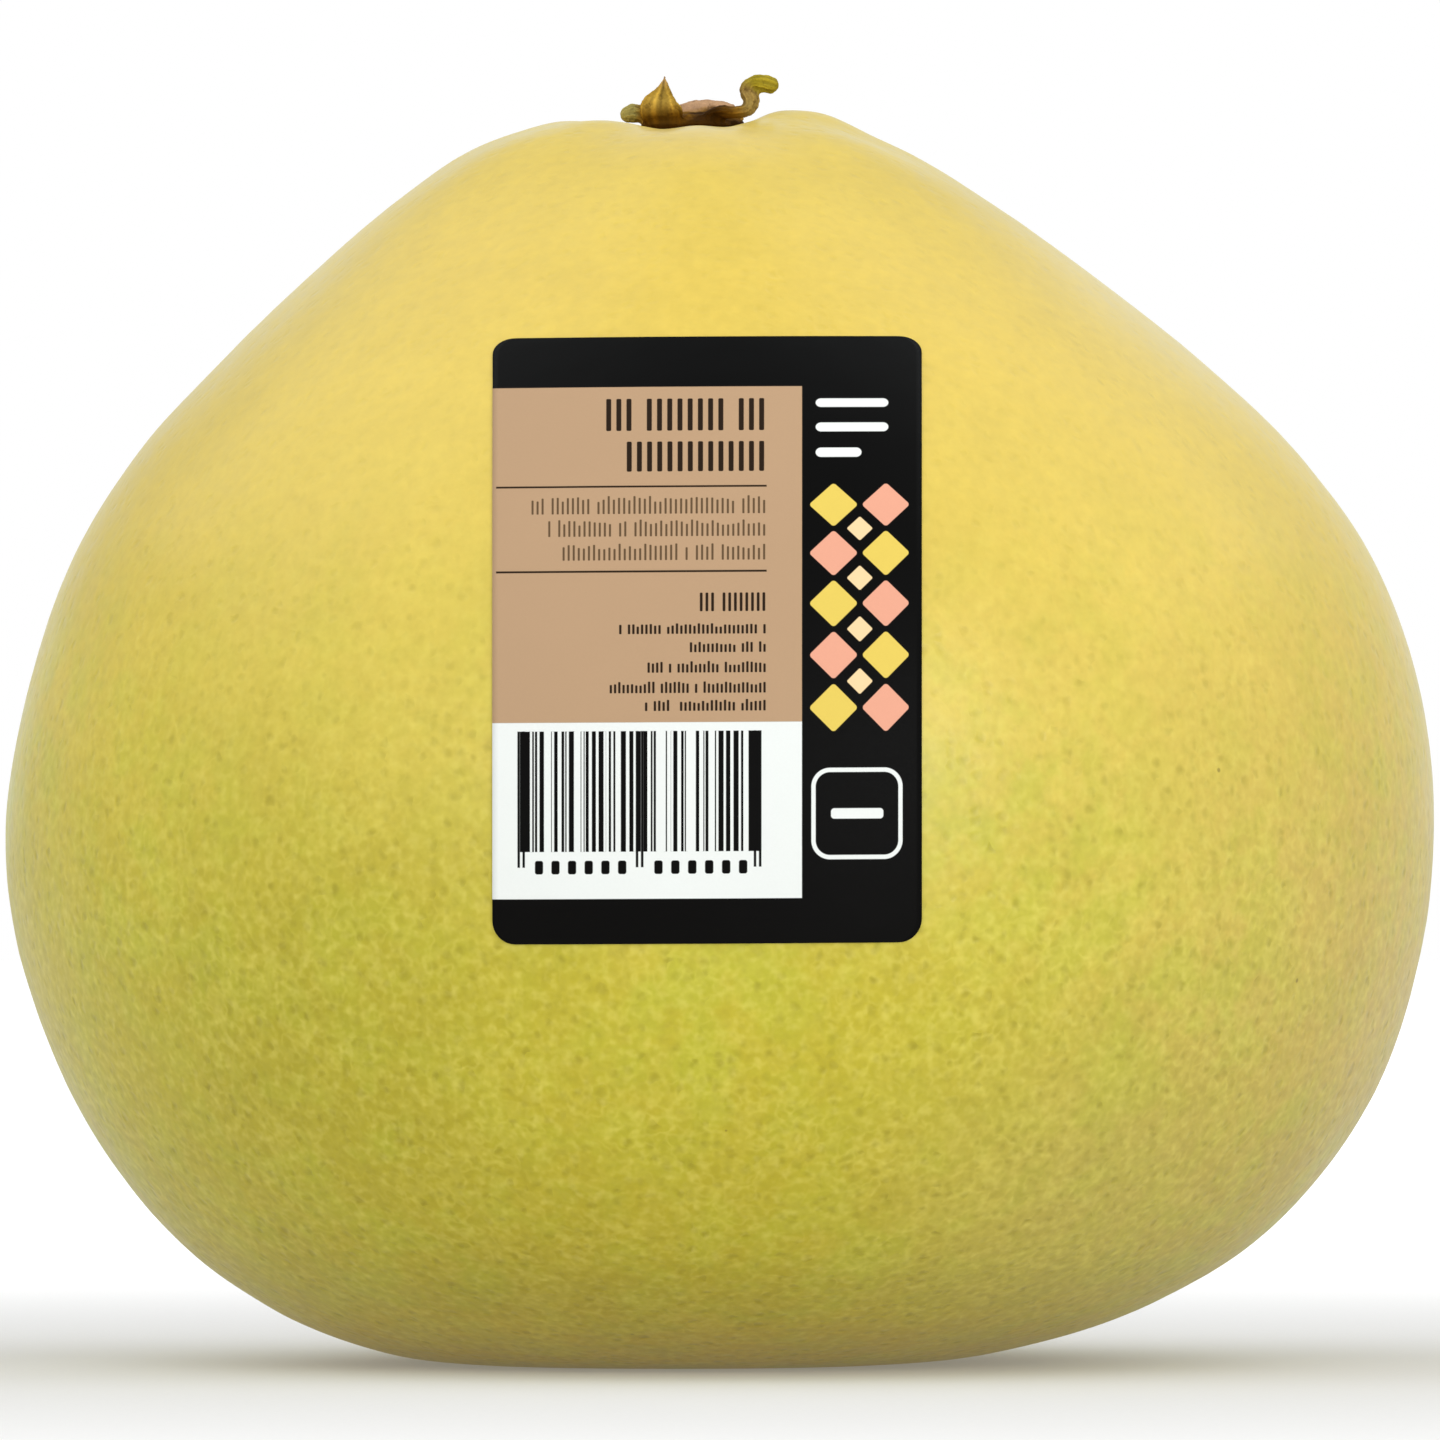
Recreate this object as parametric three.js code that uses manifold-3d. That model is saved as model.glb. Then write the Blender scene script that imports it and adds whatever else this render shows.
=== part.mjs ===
// A pomelo, the largest of the citrus fruits, with its dried calyx on the stem end and a paper sticker on
// its front. Millimetres, +Z up, the sticker faces -Y. The origin is on the surface that the fruit rests on,
// under the middle of its box. The rind is one closed skin drawn through lines of latitude; the calyx is a
// woody button with a stem scar and five shrivelled sepals; the sticker is a thin sheet bent to the skin.
import * as THREE from "three";
import { mergeVertices } from "three/addons/utils/BufferGeometryUtils.js";
import Module from "manifold-3d";

const wasm = await Module();
wasm.setup();

// ------------------------------------------------------------------ sizes

const stemX = -3.6; // the stem axis stands a little left of the fruit's middle
const clearance = 0.3; // gap kept between two pieces that touch in the real thing

// Lines of latitude from the blossom end to the stem end: the height of each, and how far the skin
// reaches from the stem axis to the right, the back, the left and the front. What would dip under 0 is
// pressed flat by the weight.
const rindLines = [
  { height: 0.8, right: 0, back: 0, left: 0, front: 0 }, // hollow at the blossom end
  { height: 0.5, right: 6, back: 6, left: 6, front: 6 },
  { height: -0.3, right: 13, back: 12, left: 13.5, front: 12 }, // resting spot
  { height: -0.1, right: 22.5, back: 21, left: 24.5, front: 19 },
  { height: 1.4, right: 37, back: 36, left: 36.8, front: 34.5 },
  { height: 6.6, right: 54.9, back: 52, left: 50.6, front: 51 },
  { height: 15.9, right: 70, back: 66, left: 62.9, front: 65.4 },
  { height: 30.4, right: 81.4, back: 77, left: 73.5, front: 76.2 },
  { height: 47.4, right: 87.6, back: 82.2, left: 80.2, front: 81.4 },
  { height: 64.4, right: 89.6, back: 83.4, left: 82.3, front: 82.6 }, // belly
  { height: 81.4, right: 87.8, back: 81, left: 79.5, front: 81 },
  { height: 96.4, right: 82.4, back: 75.2, left: 74.2, front: 76.8 },
  { height: 109.4, right: 73.1, back: 67, left: 66.2, front: 70 },
  { height: 120.4, right: 61.7, back: 57, left: 56.2, front: 61 }, // shoulder
  { height: 130.4, right: 49, back: 45.6, left: 45.8, front: 49.6 },
  { height: 139.9, right: 35.8, back: 33.6, left: 35.2, front: 36.4 },
  { height: 145.8, right: 25.7, back: 24.4, left: 26.6, front: 25.6 },
  { height: 148.5, right: 17.4, back: 16.6, left: 18, front: 17 }, // crown
  { height: 148.7, right: 12, back: 11.4, left: 12.4, front: 11.2 },
  { height: 148, right: 8.4, back: 8, left: 8.6, front: 8 },
  { height: 147.7, right: 5, back: 5, left: 5, front: 5 }, // seat of the calyx
  { height: 147.7, right: 0, back: 0, left: 0, front: 0 },
];
const quarterSwell = 0.01; // how much fuller two opposite quarters of the fruit are than the other two
const eighthSwell = 0.004;
const crownLumps = [
  { x: 6.8, y: -3.6, rise: 1.65, spread: 5 }, // right of the calyx
  { x: 13, y: -1, rise: 1.3, spread: 5 },
  { x: -16, y: 1, rise: 0.7, spread: 8 },
  { x: -14, y: -13, rise: 0.4, spread: 5 },
  { x: -1, y: 15, rise: 0.8, spread: 8 },
  { x: -6.4, y: -11, rise: -0.6, spread: 3.4 }, // two dents that run out over the front rim
  { x: -6.6, y: -16, rise: -0.6, spread: 3.4 },
  { x: 0.2, y: -11, rise: -0.5, spread: 2.2 },
  { x: 0.2, y: -15.5, rise: -0.45, spread: 2.6 },
];
// Shallow folds that run out from the stem.
const crownFurrows = { count: 7, depth: 0.35, reach: 25, spread: 10 };
const ringsPerLine = 2;
const rindSegments = 72;

const button = { radius: 6.5, thickness: 2.2, lobeDepth: 0.07 };
const scar = { x: 2, y: 0.4, halfLength: 4.2, halfWidth: 3.2, height: 3.9 }; // broken stem on the button
const sepalSides = 10;

const label = {
  width: 50,
  bottom: 51.3,
  top: 122,
  middleX: -1.5,
  corner: 2.8,
  tilt: 0.32, // degrees
  thickness: 0.6,
};
const labelColumns = 16;
const labelCornerRows = 4;
const labelStraightRows = 20;

// The stretch between the poles where the rind's height only rises.
const flank = { from: 0.15, to: 0.85 };
const halvings = 40; // steps of the search for a height along the flank
const settlingSteps = 12; // steps of the search for the skin's front

// ------------------------------------------------------------------ helpers

// A closed three.js geometry as a solid that can be joined and cut.
function solidOf(geometry) {
  const bare = geometry.clone();
  bare.deleteAttribute("normal");
  bare.deleteAttribute("uv");
  const merged = mergeVertices(bare, 1e-4);
  return new wasm.Manifold(
    new wasm.Mesh({
      numProp: 3,
      vertProperties: new Float32Array(merged.attributes.position.array),
      triVerts: new Uint32Array(merged.index.array),
    }),
  );
}

// A solid as a three.js geometry.
function geometryOf(solid) {
  const { vertProperties, triVerts } = solid.getMesh();
  const geometry = new THREE.BufferGeometry();
  geometry.setAttribute("position", new THREE.BufferAttribute(vertProperties, 3));
  geometry.setIndex(new THREE.BufferAttribute(triVerts, 1));
  geometry.computeVertexNormals();
  return geometry;
}

// Moves every vertex of a geometry to where place(vertex index) says.
function reshape(geometry, place) {
  const { position } = geometry.attributes;
  for (let i = 0; i < position.count; i++) position.setXYZ(i, ...place(i).toArray());
  geometry.computeVertexNormals();
  return geometry;
}

function bell(distance, spread) {
  return Math.exp(-((distance / spread) ** 2));
}

// ------------------------------------------------------------------ rind

const sideCurves = ["right", "back", "left", "front"].map((side) => {
  const points = rindLines.map((line) => new THREE.Vector3(line[side], 0, line.height));
  return new THREE.CatmullRomCurve3(points, false, "catmullrom");
});

// How far the skin reaches from the stem axis: along is 0 at the blossom end and 1 at the stem end, and
// azimuth turns from +X towards +Y.
function skinReach(along, azimuth) {
  const [right, back, left, front] = sideCurves.map((curve) => curve.getPoint(along).x);
  const reach =
    (right + back + left + front) / 4 +
    ((right - left) / 2) * Math.cos(azimuth) +
    ((back - front) / 2) * Math.sin(azimuth) +
    ((right + left - back - front) / 4) * Math.cos(2 * azimuth);
  return reach * (1 + quarterSwell * Math.sin(2 * azimuth) + eighthSwell * Math.sin(4 * azimuth));
}

function skinPoint(along, azimuth) {
  const reach = skinReach(along, azimuth);
  const x = stemX + reach * Math.cos(azimuth);
  const y = reach * Math.sin(azimuth);
  let height = sideCurves[0].getPoint(along).z;
  if (along > 0.5) {
    for (const lump of crownLumps) {
      height += lump.rise * bell(Math.hypot(x - lump.x, y - lump.y), lump.spread);
    }
    const { count, depth, reach: middle, spread } = crownFurrows;
    height += depth * Math.sin(count * azimuth) * (reach / middle) * bell(reach - middle, spread);
  }
  return new THREE.Vector3(x, y, Math.max(0, height));
}

function rindGeometry() {
  const rings = ringsPerLine * (rindLines.length - 1);
  const geometry = new THREE.SphereGeometry(1, rindSegments, rings);
  const { uv } = geometry.attributes;
  return reshape(geometry, (i) => skinPoint(uv.getY(i), 2 * Math.PI * uv.getX(i)));
}

// ------------------------------------------------------------------ sticker

// Where along the rind a height lies, on the flank between the resting spot and the crown.
function alongAt(height) {
  let low = flank.from;
  let high = flank.to;
  for (let step = 0; step < halvings; step++) {
    const middle = (low + high) / 2;
    if (sideCurves[0].getPoint(middle).z < height) low = middle;
    else high = middle;
  }
  return (low + high) / 2;
}

// The point of the front of the skin at x and height z.
function frontPoint(x, z) {
  const along = alongAt(z);
  let y = -Math.max(...rindLines.map((line) => line.front));
  for (let step = 0; step < settlingSteps; step++) {
    const reach = skinReach(along, Math.atan2(y, x - stemX));
    y = -Math.sqrt(reach ** 2 - (x - stemX) ** 2);
  }
  return new THREE.Vector3(x, y, z);
}

// The skin's outward direction there.
function frontNormal(x, z) {
  const step = 0.5;
  const across = frontPoint(x + step, z).sub(frontPoint(x - step, z));
  const up = frontPoint(x, z + step).sub(frontPoint(x, z - step));
  return across.cross(up).normalize();
}

// Height above the sticker's foot, and half the width, of each row of its grid. The rows crowd into the
// corners.
function labelRow(row) {
  const rise = label.top - label.bottom;
  const rows = 2 * labelCornerRows + labelStraightRows;
  const fromEnd = Math.min(row, rows - row);
  if (fromEnd < labelCornerRows) {
    const turn = ((Math.PI / 2) * fromEnd) / labelCornerRows;
    const inset = label.corner * (1 - Math.cos(turn));
    const half = label.width / 2 - label.corner * (1 - Math.sin(turn));
    return { rise: row < labelCornerRows ? inset : rise - inset, half };
  }
  const share = (row - labelCornerRows) / labelStraightRows;
  return { rise: label.corner + share * (rise - 2 * label.corner), half: label.width / 2 };
}

function labelGeometry() {
  const rows = 2 * labelCornerRows + labelStraightRows;
  const geometry = new THREE.BoxGeometry(1, 1, 1, labelColumns, rows, 1);
  const flat = geometry.attributes.position.clone();
  const middleZ = (label.bottom + label.top) / 2;
  const tilt = THREE.MathUtils.degToRad(label.tilt);
  return reshape(geometry, (i) => {
    const { rise, half } = labelRow(Math.round((flat.getY(i) + 0.5) * rows));
    const across = 2 * half * flat.getX(i);
    const up = label.bottom + rise - middleZ;
    const x = label.middleX + across * Math.cos(tilt) - up * Math.sin(tilt);
    const z = middleZ + across * Math.sin(tilt) + up * Math.cos(tilt);
    const lift = clearance + (flat.getZ(i) > 0 ? label.thickness : 0);
    return frontPoint(x, z).addScaledVector(frontNormal(x, z), lift);
  });
}

// ------------------------------------------------------------------ calyx

// The calyx is drawn about its own foot, which stands on the seat in the rind.
const seatHeight = rindLines.at(-1).height + clearance;

// A turned body about the Z axis: profile lists [radius, height] from the middle of its foot to the middle
// of its top, and swell(azimuth) multiplies the radius.
function turnedGeometry(profile, segments, swell = () => 1) {
  const geometry = new THREE.LatheGeometry(profile.map(([r, h]) => new THREE.Vector2(r, h)), segments);
  const turned = geometry.attributes.position.clone();
  return reshape(geometry, (i) => {
    const x = turned.getX(i);
    const y = -turned.getZ(i);
    const factor = swell(Math.atan2(y, x));
    return new THREE.Vector3(factor * x, factor * y, turned.getY(i));
  });
}

function buttonSolid() {
  const { radius, thickness, lobeDepth } = button;
  const profile = [
    [0, 0],
    [radius - 0.6, 0],
    [radius, 0.6],
    [radius - 0.2, 1.4],
    [radius - 1.4, thickness],
    [radius - 3.4, thickness + 0.2],
    [0, thickness + 0.1],
  ];
  return solidOf(turnedGeometry(profile, 40, (azimuth) => 1 + lobeDepth * Math.cos(5 * azimuth)));
}

// The broken stem: a low woody dome, longer than it is wide.
function scarSolid() {
  const profile = [
    [0, 0.08],
    [1, 0.08],
    [1, 0.45],
    [0.94, 0.68],
    [0.8, 0.84],
    [0.55, 0.95],
    [0.25, 0.995],
    [0, 1],
  ];
  const geometry = turnedGeometry(profile, 24);
  geometry.scale(scar.halfLength, scar.halfWidth, scar.height);
  return solidOf(geometry.translate(scar.x, scar.y, 0));
}

// A shrivelled sepal: a blade with an oval section that runs along its spine from root to tip. halfWidths and
// halfDepths are given at even steps along it, and across is the direction that its width lies in.
function sepalSolid({ spine, halfWidths, halfDepths, across, steps }) {
  const line = new THREE.CatmullRomCurve3(spine.map((p) => new THREE.Vector3(...p)));
  const sizes = new THREE.SplineCurve(halfWidths.map((w, i) => new THREE.Vector2(w, halfDepths[i])));
  const geometry = new THREE.CylinderGeometry(1, 1, 1, sepalSides, steps);
  const round = geometry.attributes.position.clone();
  const side = new THREE.Vector3(...across).normalize();
  return solidOf(
    reshape(geometry, (i) => {
      const along = round.getY(i) + 0.5;
      const tangent = line.getTangent(along);
      const width = side.clone().addScaledVector(tangent, -side.dot(tangent)).normalize();
      const depth = width.clone().cross(tangent);
      const { x: halfWidth, y: halfDepth } = sizes.getPoint(along);
      return line
        .getPoint(along)
        .addScaledVector(width, halfWidth * round.getX(i))
        .addScaledVector(depth, halfDepth * round.getZ(i));
    }),
  );
}

const sepals = {
  peaked: {
    spine: [[-2.6, -3.4, 0.8], [-3.3, -4.9, 1.7], [-3.5, -5.4, 3], [-3.2, -5.2, 4.7], [-3, -4.8, 6.5]],
    halfWidths: [2.1, 2.8, 2.6, 1.25, 0.12],
    halfDepths: [0.8, 0.65, 0.5, 0.4, 0.2],
    across: [1, -0.15, 0],
    steps: 14,
  },
  rolled: {
    spine: [[-4, -0.6, 1.1], [-5.6, -0.9, 1.85], [-6.9, -1, 1.95], [-8.2, -1.1, 1.8]],
    halfWidths: [1.8, 1.7, 1.6, 1.2],
    halfDepths: [0.8, 1.35, 1.4, 0.95],
    across: [-0.1, 1, 0],
    steps: 12,
  },
  curled: {
    spine: [
      [1.4, -3.2, 1.1],
      [3.4, -4.6, 2],
      [5.2, -4.9, 1.95],
      [6.8, -4.7, 2.25],
      [7.35, -4.4, 3.4],
      [6.85, -4.2, 4.6],
      [7.5, -4.1, 5.45],
      [8.9, -4, 5.5],
      [10.9, -4, 5.2],
    ],
    halfWidths: [2, 1.9, 1.7, 1.6, 1.5, 1.5, 1.5, 1.5, 1.3],
    halfDepths: [0.9, 1, 1, 1.1, 1.2, 1.15, 1.15, 1.3, 1.15],
    across: [0.1, 1, 0],
    steps: 40,
  },
  spread: {
    spine: [[3, 3.4, 1.1], [4.4, 5.2, 1.7], [5.7, 6.8, 1.8], [6.7, 8, 1.5]],
    halfWidths: [2.3, 2.2, 1.4, 0.15],
    halfDepths: [0.7, 0.5, 0.4, 0.3],
    across: [1, -1, 0],
    steps: 12,
  },
  raised: {
    spine: [[-2, 3.8, 1.1], [-2.9, 5.8, 1.8], [-3.5, 7, 2.6], [-3.6, 7.3, 3.7]],
    halfWidths: [2.2, 2.1, 1.4, 0.15],
    halfDepths: [0.7, 0.5, 0.4, 0.3],
    across: [1, 0.45, 0],
    steps: 12,
  },
};

// Button, scar and sepals as one body, trimmed to the skin that it lies on.
function calyxSolid(rindSolid) {
  const parts = [buttonSolid(), scarSolid(), ...Object.values(sepals).map(sepalSolid)];
  const whole = parts.reduce((joined, part) => joined.add(part));
  const skin = rindSolid.translate([-stemX, 0, clearance - seatHeight]);
  const bodies = whole.subtract(skin).decompose();
  return bodies.sort((a, b) => b.volume() - a.volume())[0];
}

// ------------------------------------------------------------------ pieces

function piece(name, geometry, color, roughness) {
  const mesh = new THREE.Mesh(geometry, new THREE.MeshStandardMaterial({ color, roughness, metalness: 0 }));
  mesh.name = name;
  return mesh;
}

const rindShape = rindGeometry();
const fruit = piece("fruit", rindShape, 0xd8c862, 0.45);
const calyx = piece("calyx", geometryOf(calyxSolid(solidOf(rindShape))), 0x7a5c2c, 0.85);
calyx.position.set(stemX, 0, seatHeight);
const sticker = piece("label", labelGeometry(), 0x16140f, 0.35);

const pomelo = new THREE.Group();
pomelo.add(fruit, calyx, sticker);

export default pomelo;
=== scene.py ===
"""A ripe pomelo: its rind, the dried calyx in the dip at its top, and a printed sticker on its front.

Everything is in metres, +Z up, and the sticker faces -Y. Sizes below are given in millimetres and turned
into metres by mm().
"""
import math

import bpy
import numpy as np
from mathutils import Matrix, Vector
from mathutils.bvhtree import BVHTree
from mathutils.kdtree import KDTree


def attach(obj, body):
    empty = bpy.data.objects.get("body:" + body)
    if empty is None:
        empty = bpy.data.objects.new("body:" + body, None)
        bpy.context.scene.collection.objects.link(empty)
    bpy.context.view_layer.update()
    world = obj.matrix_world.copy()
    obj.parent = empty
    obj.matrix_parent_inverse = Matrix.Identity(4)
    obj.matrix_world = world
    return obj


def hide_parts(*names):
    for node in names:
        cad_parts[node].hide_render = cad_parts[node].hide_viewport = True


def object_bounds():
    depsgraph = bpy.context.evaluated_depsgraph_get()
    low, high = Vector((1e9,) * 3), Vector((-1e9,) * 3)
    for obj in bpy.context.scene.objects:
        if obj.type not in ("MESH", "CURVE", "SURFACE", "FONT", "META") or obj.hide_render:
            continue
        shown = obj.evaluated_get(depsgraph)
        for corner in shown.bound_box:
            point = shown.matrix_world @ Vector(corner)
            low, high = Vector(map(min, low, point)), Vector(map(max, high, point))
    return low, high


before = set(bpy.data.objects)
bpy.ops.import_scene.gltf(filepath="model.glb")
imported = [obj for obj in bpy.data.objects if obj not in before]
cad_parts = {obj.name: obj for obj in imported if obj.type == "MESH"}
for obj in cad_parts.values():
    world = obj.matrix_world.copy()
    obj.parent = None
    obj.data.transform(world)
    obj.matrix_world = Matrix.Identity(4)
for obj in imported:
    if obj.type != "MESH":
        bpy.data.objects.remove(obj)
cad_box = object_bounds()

# ---------------------------------------------------------------- sizes, in millimetres

STEM_X = -3.6  # the stem axis stands a little left of the fruit's middle

# Lines of latitude from the blossom end to the stem end: height, and how far the skin reaches from the stem
# axis to the right, the back, the left and the front.
RIND_LINES = [
    (0.8, 0, 0, 0, 0),  # hollow at the blossom end
    (0.5, 6, 6, 6, 6),
    (-0.3, 13, 12, 13.5, 12),  # resting spot
    (-0.1, 22.5, 21, 24.5, 19),
    (1.4, 37, 36, 36.8, 34.5),
    (6.6, 54.9, 52, 50.6, 51),
    (15.9, 70, 66, 62.9, 65.4),
    (30.4, 81.4, 77, 73.5, 76.2),
    (47.4, 87.6, 82.2, 80.2, 81.4),
    (64.4, 89.6, 83.4, 82.3, 82.6),  # belly
    (81.4, 87.8, 81, 79.5, 81),
    (96.4, 82.4, 75.2, 74.2, 76.8),
    (109.4, 73.1, 67, 66.2, 70),
    (120.4, 61.7, 57, 56.2, 61),  # shoulder
    (130.4, 49, 45.6, 45.8, 49.6),
    (139.9, 35.8, 33.6, 35.2, 36.4),
    (145.8, 25.7, 24.4, 26.6, 25.6),
    (148.5, 17.4, 16.6, 18, 17),  # crown
    (148.7, 12, 11.4, 12.4, 11.2),
    (148, 8.4, 8, 8.6, 8),
    (147.7, 5, 5, 5, 5),  # seat of the calyx
    (147.7, 0, 0, 0, 0),
]
QUARTER_SWELL = 0.01  # how much fuller two opposite quarters of the fruit are than the other two
EIGHTH_SWELL = 0.004
CROWN_LUMPS = [  # x, y, rise, spread
    (6.8, -3.6, 1.65, 5),
    (13, -1, 1.3, 5),
    (-16, 1, 0.7, 8),
    (-14, -13, 0.4, 5),
    (-1, 15, 0.8, 8),
    (-6.4, -11, -0.6, 3.4),
    (-6.6, -16, -0.6, 3.4),
    (0.2, -11, -0.5, 2.2),
    (0.2, -15.5, -0.45, 2.6),
]
FURROWS = {"count": 7, "depth": 0.35, "reach": 25, "spread": 10}  # shallow folds that run out from the stem
UNEVENNESS = {"size": 26, "depth": 0.5}
DIMPLES = {"size": 6, "depth": 0.2}
UNEVEN_FROM = (0.4, 9)  # heights where the unevenness begins and is full
RIND_SEED = 4.0
RIND_ROWS = 281
RIND_COLUMNS = 337
MERGE_DISTANCE = 0.001

CALYX_FOOT = 148.0  # height of the calyx's underside

LABEL = {
    "width": 50.5,
    "length": 77.2,
    "bottom": 51.3,
    "middle_x": -1.5,
    "corner": 2.8,
    "tilt": 0.32,  # degrees
    "gap": 0.05,
    "thickness": 0.2,
}
LABEL_BEND = 83  # radius of the belly under the sticker
SHEET_DISTANCE = 120  # how far in front of the stem axis the flat sheet stands before it is draped

CAMERA_DISTANCE = 2400
CAMERA_HEIGHT = 77.2
VIEW_WIDTH = 172.8  # what the frame takes in at the fruit
SENSOR = 36


def mm(value):
    return value * 0.001


def in_mm(metres):
    return metres * 1000


def srgb(red, green, blue):
    """A colour given as 0 to 255 display values, as linear values."""
    shares = [c / 255 for c in (red, green, blue)]
    return tuple(s / 12.92 if s <= 0.04045 else ((s + 0.055) / 1.055) ** 2.4 for s in shares) + (1.0,)


# ---------------------------------------------------------------- node building


def socket(sockets, name):
    """The socket in use that has this name, or this index."""
    if isinstance(name, int):
        return sockets[name]
    return next(s for s in sockets if s.name == name and s.enabled)


class Graph:
    """A node tree under construction. Inputs may be given values or other nodes' outputs."""

    def __init__(self, tree):
        self.tree = tree

    def feed(self, target, value):
        if isinstance(value, bpy.types.NodeSocket):
            self.tree.links.new(value, target)
        else:
            target.default_value = value

    def end(self, node, inputs):
        """Feeds the inputs of a node."""
        for name, value in inputs.items():
            self.feed(socket(node.inputs, name), value)

    def add(self, kind, inputs=None, **settings):
        node = self.tree.nodes.new(kind)
        for name, value in settings.items():
            setattr(node, name, value)
        self.end(node, inputs or {})
        return node

    def group(self, tree, inputs):
        node = self.add(self.tree.bl_idname.replace("Tree", "Group"), node_tree=tree)
        self.end(node, inputs)
        return node

    def math(self, operation, *values, clamp=False):
        inputs = dict(enumerate(values))
        return self.add("ShaderNodeMath", inputs, operation=operation, use_clamp=clamp).outputs[0]

    def plus(self, first, *others, clamp=False):
        for other in others:
            first = self.math("ADD", first, other, clamp=clamp)
        return first

    def times(self, first, *others):
        for other in others:
            first = self.math("MULTIPLY", first, other)
        return first

    def minus(self, first, second):
        return self.math("SUBTRACT", first, second)

    def over(self, first, second):
        return self.math("DIVIDE", first, second)

    def bell(self, off):
        """1 where off is 0, falling off on both sides."""
        return self.math("EXPONENT", self.times(off, off, -1.0))

    def vector(self, operation, *values):
        return self.add("ShaderNodeVectorMath", dict(enumerate(values)), operation=operation).outputs[0]

    def scaled(self, vector, factor):
        inputs = {"Vector": vector, "Scale": factor}
        return self.add("ShaderNodeVectorMath", inputs, operation="SCALE").outputs[0]

    def length(self, vector):
        return self.add("ShaderNodeVectorMath", {0: vector}, operation="LENGTH").outputs["Value"]

    def combine(self, x, y, z):
        return self.add("ShaderNodeCombineXYZ", {0: x, 1: y, 2: z}).outputs[0]

    def separate(self, vector):
        return self.add("ShaderNodeSeparateXYZ", {0: vector}).outputs

    def remap(self, value, low, high, least=0.0, most=1.0, smooth=False):
        """Turns low to high into least to most, and stays at those beyond."""
        inputs = {"Value": value, "From Min": low, "From Max": high, "To Min": least, "To Max": most}
        kind = "SMOOTHSTEP" if smooth else "LINEAR"
        return self.add("ShaderNodeMapRange", inputs, interpolation_type=kind).outputs[0]

    def noise(self, place, size, detail=2.0, roughness=0.5, seed=0.0):
        """Smooth noise from 0 to 1 whose blots are about size metres across."""
        scale = self.over(1.0, size) if isinstance(size, bpy.types.NodeSocket) else 1 / size
        inputs = {"Vector": place, "W": seed, "Scale": scale, "Detail": detail, "Roughness": roughness}
        return self.add("ShaderNodeTexNoise", inputs, noise_dimensions="4D").outputs[0]

    def patches(self, place, size, low, high, least=0.0, most=1.0, smooth=False, **noise):
        """Patches about size metres across: least where the noise is low, and most where it is high."""
        return self.remap(self.noise(place, size, **noise), low, high, least, most, smooth)

    def mix(self, factor, first, second):
        settings = {"data_type": "RGBA", "blend_type": "MIX", "clamp_factor": True}
        return self.add("ShaderNodeMix", {"Factor": factor, "A": first, "B": second}, **settings).outputs[2]

    def ramp(self, factor, stops):
        node = self.add("ShaderNodeValToRGB", {0: factor})
        elements = node.color_ramp.elements
        while len(elements) < len(stops):
            elements.new(1.0)
        for element, (place, color) in zip(elements, stops):
            element.position = place
            element.color = color
        return node.outputs[0]


def new_group(name, kind, inputs, outputs):
    """An empty node group with named sockets. inputs and outputs list (name, socket type, default)."""
    tree = bpy.data.node_groups.new(name, kind)
    for direction, sockets in (("INPUT", inputs), ("OUTPUT", outputs)):
        for title, socket_type, *default in sockets:
            made = tree.interface.new_socket(name=title, in_out=direction, socket_type=socket_type)
            if default:
                made.default_value = default[0]
    graph = Graph(tree)
    given = graph.add("NodeGroupInput").outputs
    last = graph.add("NodeGroupOutput")
    return graph, given, last


FLOAT = "NodeSocketFloat"
INTEGER = "NodeSocketInt"
VECTOR = "NodeSocketVector"
COLOR = "NodeSocketColor"
GEOMETRY = "NodeSocketGeometry"
MATERIAL = "NodeSocketMaterial"
OBJECT = "NodeSocketObject"


def coated(graph, geometry, material):
    """The last steps of each geometry tree: smooth shading, real instances and the material."""
    smooth = graph.add("GeometryNodeSetShadeSmooth", {"Geometry": geometry}).outputs[0]
    whole = graph.add("GeometryNodeRealizeInstances", {"Geometry": smooth}).outputs[0]
    return graph.add("GeometryNodeSetMaterial", {"Geometry": whole, "Material": material}).outputs[0]


def bake_modifiers(piece):
    """Turns a piece with modifiers into a plain mesh."""
    view = bpy.context.evaluated_depsgraph_get()
    view.update()
    mesh = bpy.data.meshes.new_from_object(piece.evaluated_get(view), depsgraph=view)
    piece.modifiers.clear()
    old = piece.data
    piece.data = mesh
    mesh.name = piece.name
    bpy.data.meshes.remove(old)


def run_tree(piece, tree, values):
    """Runs a geometry tree on a piece with these input values, and keeps the result as its plain mesh."""
    modifier = piece.modifiers.new(tree.name, "NODES")
    modifier.node_group = tree
    for item in tree.interface.items_tree:
        if item.in_out == "INPUT" and item.name in values:
            modifier[item.identifier] = values[item.name]
    bake_modifiers(piece)


def mesh_piece(name, points, faces=()):
    mesh = bpy.data.meshes.new(name)
    mesh.from_pydata([tuple(p) for p in points], [], faces)
    mesh.update()
    piece = bpy.data.objects.new(name, mesh)
    bpy.context.scene.collection.objects.link(piece)
    return piece


def curve_through(points, count):
    """count points at even parameter steps on a Catmull-Rom curve through the given points."""
    points = np.asarray(points, float)
    padded = np.vstack([2 * points[0] - points[1], points, 2 * points[-1] - points[-2]])
    at = np.linspace(0, len(points) - 1, count)
    span = np.minimum(at.astype(int), len(points) - 2)
    t = (at - span)[:, None]
    a, b, c, d = (padded[span + i] for i in range(4))
    cubic = 3 * b - a - 3 * c + d
    return 0.5 * (2 * b + (c - a) * t + (2 * a - 5 * b + 4 * c - d) * t**2 + cubic * t**3)


# ---------------------------------------------------------------- shader groups shared by the materials


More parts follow.
